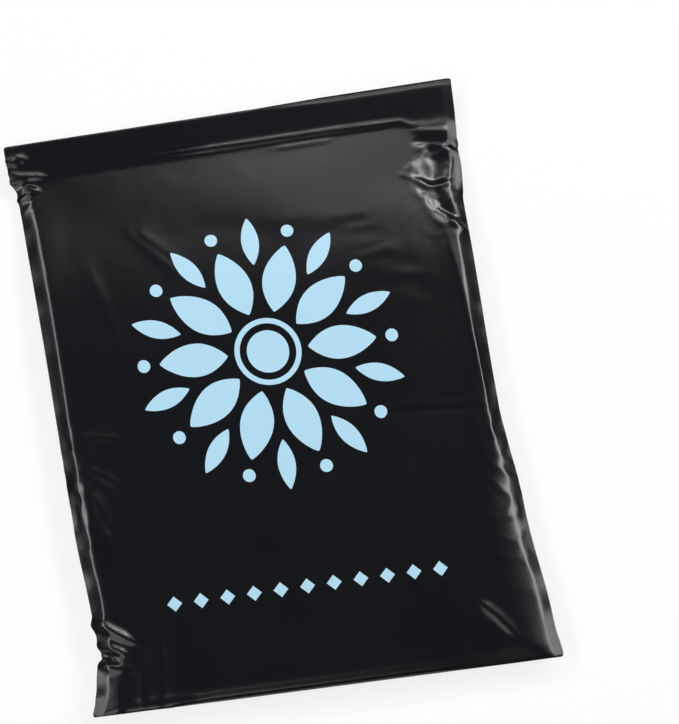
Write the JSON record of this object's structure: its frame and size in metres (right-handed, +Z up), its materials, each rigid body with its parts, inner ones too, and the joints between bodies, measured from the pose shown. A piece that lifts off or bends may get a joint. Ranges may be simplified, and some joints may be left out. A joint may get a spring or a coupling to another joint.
{
  "type": "poly mailer bag",
  "caption": "Flat pouch of black polyethylene film, filled with soft goods, heat-sealed down both sides and closed by a glued flap, for posting garments.",
  "frame": {"origin": "under the middle of the bag, on the surface that it lies on", "axes": "+Z up out of the front panel, +Y from the bottom fold to the top fold, +X to the right of the front panel"},
  "size_m": [0.254, 0.328, 0.017],
  "materials": {
    "film": "black satin-gloss polyethylene film with a pale blue one-colour print on the front panel"
  },
  "bodies": {
    "root": {"mailer_bag": "film"}
  },
  "joints": []
}
